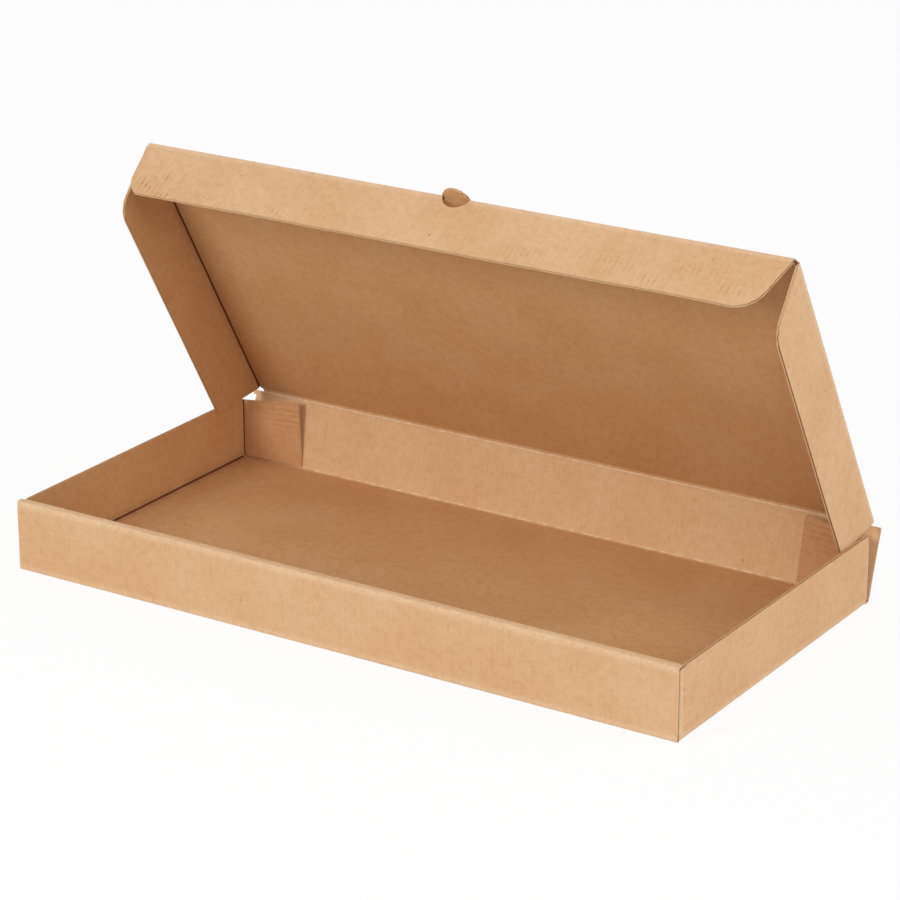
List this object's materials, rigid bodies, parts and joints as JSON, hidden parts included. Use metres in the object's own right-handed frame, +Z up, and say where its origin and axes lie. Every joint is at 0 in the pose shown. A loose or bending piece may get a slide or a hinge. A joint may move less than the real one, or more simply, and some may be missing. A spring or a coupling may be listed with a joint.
{
  "type": "flatbread box",
  "caption": "Long shallow corrugated kraft box for a flatbread, shown open: rolled front wall, leaning back wall, and a hinged lid with side wings, a front tuck flap and a thumb tab.",
  "frame": {"origin": "centre of the tray's underside, on the surface that the box stands on", "axes": "+X along the length to the right end, +Y from the front wall to the back wall, +Z up"},
  "size_m": [0.4, 0.2158, 0.2146],
  "materials": {
    "tray_board": "matte unbleached kraft board",
    "back_wall_board": "matte unbleached kraft board",
    "lid_board": "matte unbleached kraft board"
  },
  "bodies": {
    "tray": {"tray": "tray_board"},
    "back_wall": {"back_wall": "back_wall_board"},
    "lid": {"lid": "lid_board"}
  },
  "joints": [
    {"name": "back_wall_lean", "type": "hinge", "parent": "tray", "child": "back_wall", "pos_m": [0, 0.1012, 0.0008], "axis": [-1, 0, 0], "range_deg": [-17.4, 35]},
    {"name": "lid_hinge", "type": "hinge", "parent": "back_wall", "child": "lid", "pos_m": [0, 0.11295, 0.0383], "axis": [-1, 0, 0], "range_deg": [-42.3, 85]}
  ],
  "couplings": [
    {"joint": "back_wall_lean", "follows": "lid_hinge", "ratio": 0.4113}
  ]
}
